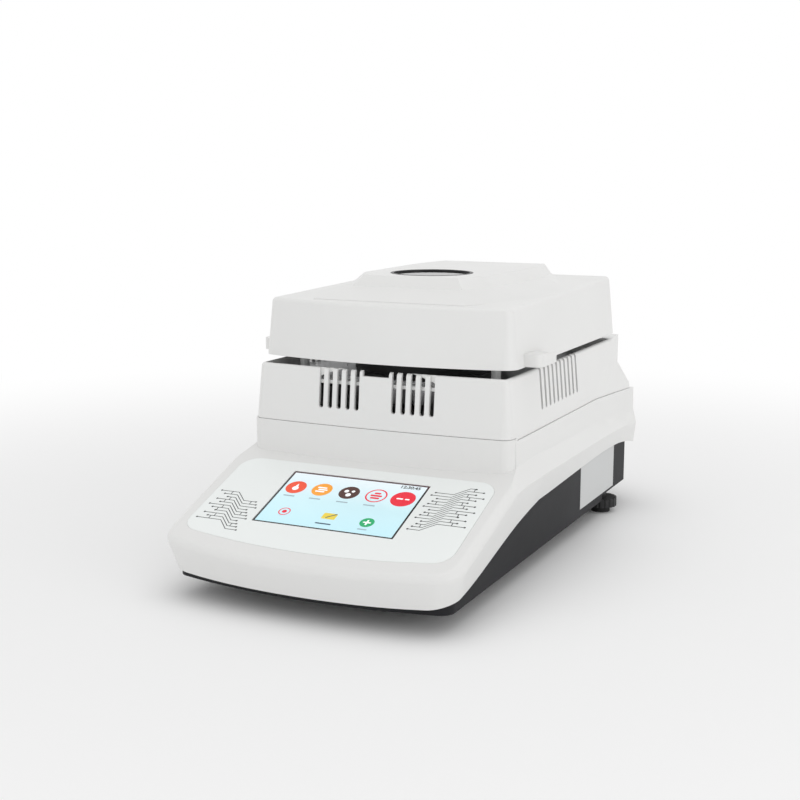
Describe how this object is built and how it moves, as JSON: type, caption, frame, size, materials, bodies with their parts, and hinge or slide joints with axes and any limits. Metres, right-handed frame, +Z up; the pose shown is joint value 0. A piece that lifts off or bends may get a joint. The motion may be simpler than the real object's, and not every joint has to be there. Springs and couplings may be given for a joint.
{
  "type": "moisture analyzer",
  "caption": "Bench analyzer with a sloping touch-screen console, hinged heating lid with a round window, sample pan on a load cell, adjustable rear feet.",
  "frame": {"origin": "on the bench under the middle of the object's bounding box", "axes": "+Z up, the console and screen face -Y, +X to the right of someone in front of the screen"},
  "size_m": [0.2254, 0.425, 0.2116],
  "materials": {
    "white_plastic": "fine grain",
    "grey_plastic": "fine grain",
    "black_plastic": "satin",
    "overlay_film": "satin film",
    "screen_glass": "polished",
    "display_dark": "smooth",
    "board_green": "solder mask",
    "steel": "brushed",
    "aluminium": "machined",
    "black_metal": "matt coat",
    "rubber": "moulded",
    "clear_glass": "polished",
    "window_glass": "polished, tinted",
    "lamp_glass": "polished",
    "vial_glass": "polished",
    "ceramic": "unglazed",
    "copper": "enamelled wire",
    "chrome": "bright",
    "label_film": "plain film"
  },
  "bodies": {
    "base": {"bottom_tray": "grey_plastic", "top_shell": "white_plastic", "chamber_housing": "white_plastic", "rest_posts": "white_plastic", "shield_plate": "steel", "chamber_bowl": "steel", "draft_ring": "black_metal", "load_cell_base": "aluminium", "load_cell": "aluminium", "weighing_post": "aluminium", "console_overlay": "overlay_film", "touch_glass": "screen_glass", "display_panel": "display_dark", "display_board": "board_green", "display_bracket": "steel", "display_screws": "steel", "main_board": "board_green", "main_chips": "black_plastic", "main_connectors": "white_plastic", "power_board": "board_green", "transformer_core": "steel", "transformer_coil": "copper", "capacitors": "aluminium", "heat_sink": "aluminium", "triac": "black_plastic", "mains_inlet": "black_plastic", "inlet_pins": "steel", "switch_bezel": "black_plastic", "serial_port": "steel", "usb_port": "steel", "front_feet": "rubber", "blank_label": "label_film", "level_body": "black_plastic", "level_vial": "vial_glass", "case_screws": "steel", "housing_screws": "steel", "board_screws": "steel", "left_hinge_bracket": "steel", "right_hinge_bracket": "steel", "hinge_pins": "steel"},
    "lid": {"lid_cover": "white_plastic", "window_glass": "window_glass", "window_ring": "black_plastic", "lid_base_plate": "aluminium", "protective_glass": "clear_glass", "glass_retainer": "steel", "retainer_screws": "steel", "lid_screws": "steel", "reflector": "chrome", "sight_tube": "steel", "ring_lamp": "lamp_glass", "lamp_holder": "ceramic", "temperature_sensor": "steel"},
    "power_rocker": {"power_rocker": "black_plastic"},
    "pan_support": {"pan_support": "steel"},
    "sample_pan": {"sample_pan": "aluminium"},
    "left_foot_pad": {"left_foot_pad": "rubber"},
    "right_foot_pad": {"right_foot_pad": "rubber"},
    "left_foot_wheel": {"left_foot_wheel": "black_plastic"},
    "right_foot_wheel": {"right_foot_wheel": "black_plastic"}
  },
  "joints": [
    {"name": "lid_hinge", "type": "hinge", "parent": "base", "child": "lid", "pos_m": [0, 0.176, 0.158], "axis": [-1, 0, 0], "range_deg": [0, 85]},
    {"name": "power_rocker_tilt", "type": "hinge", "parent": "base", "child": "power_rocker", "pos_m": [-0.022, 0.201, 0.032], "axis": [0, 0, -1], "range_deg": [0, 22]},
    {"name": "pan_support_lift", "type": "slide", "parent": "base", "child": "pan_support", "axis": [0, 0, 1], "range_m": [0, 0.005]},
    {"name": "sample_pan_lift", "type": "slide", "parent": "pan_support", "child": "sample_pan", "axis": [0, 0, 1], "range_m": [0, 0.007]},
    {"name": "left_foot_lower", "type": "slide", "parent": "base", "child": "left_foot_pad", "axis": [0, 0, -1], "range_m": [0, 0.00375]},
    {"name": "left_foot_turn", "type": "hinge", "parent": "left_foot_pad", "child": "left_foot_wheel", "pos_m": [-0.095, 0.15, 0.01], "axis": [0, 0, -1], "range_deg": [0, 1080]},
    {"name": "right_foot_lower", "type": "slide", "parent": "base", "child": "right_foot_pad", "axis": [0, 0, -1], "range_m": [0, 0.00375]},
    {"name": "right_foot_turn", "type": "hinge", "parent": "right_foot_pad", "child": "right_foot_wheel", "pos_m": [0.095, 0.15, 0.01], "axis": [0, 0, -1], "range_deg": [0, 1080]}
  ],
  "couplings": [
    {"joint": "left_foot_lower", "follows": "left_foot_turn", "m_per_rad": 0.00019894},
    {"joint": "right_foot_lower", "follows": "right_foot_turn", "m_per_rad": 0.00019894}
  ]
}
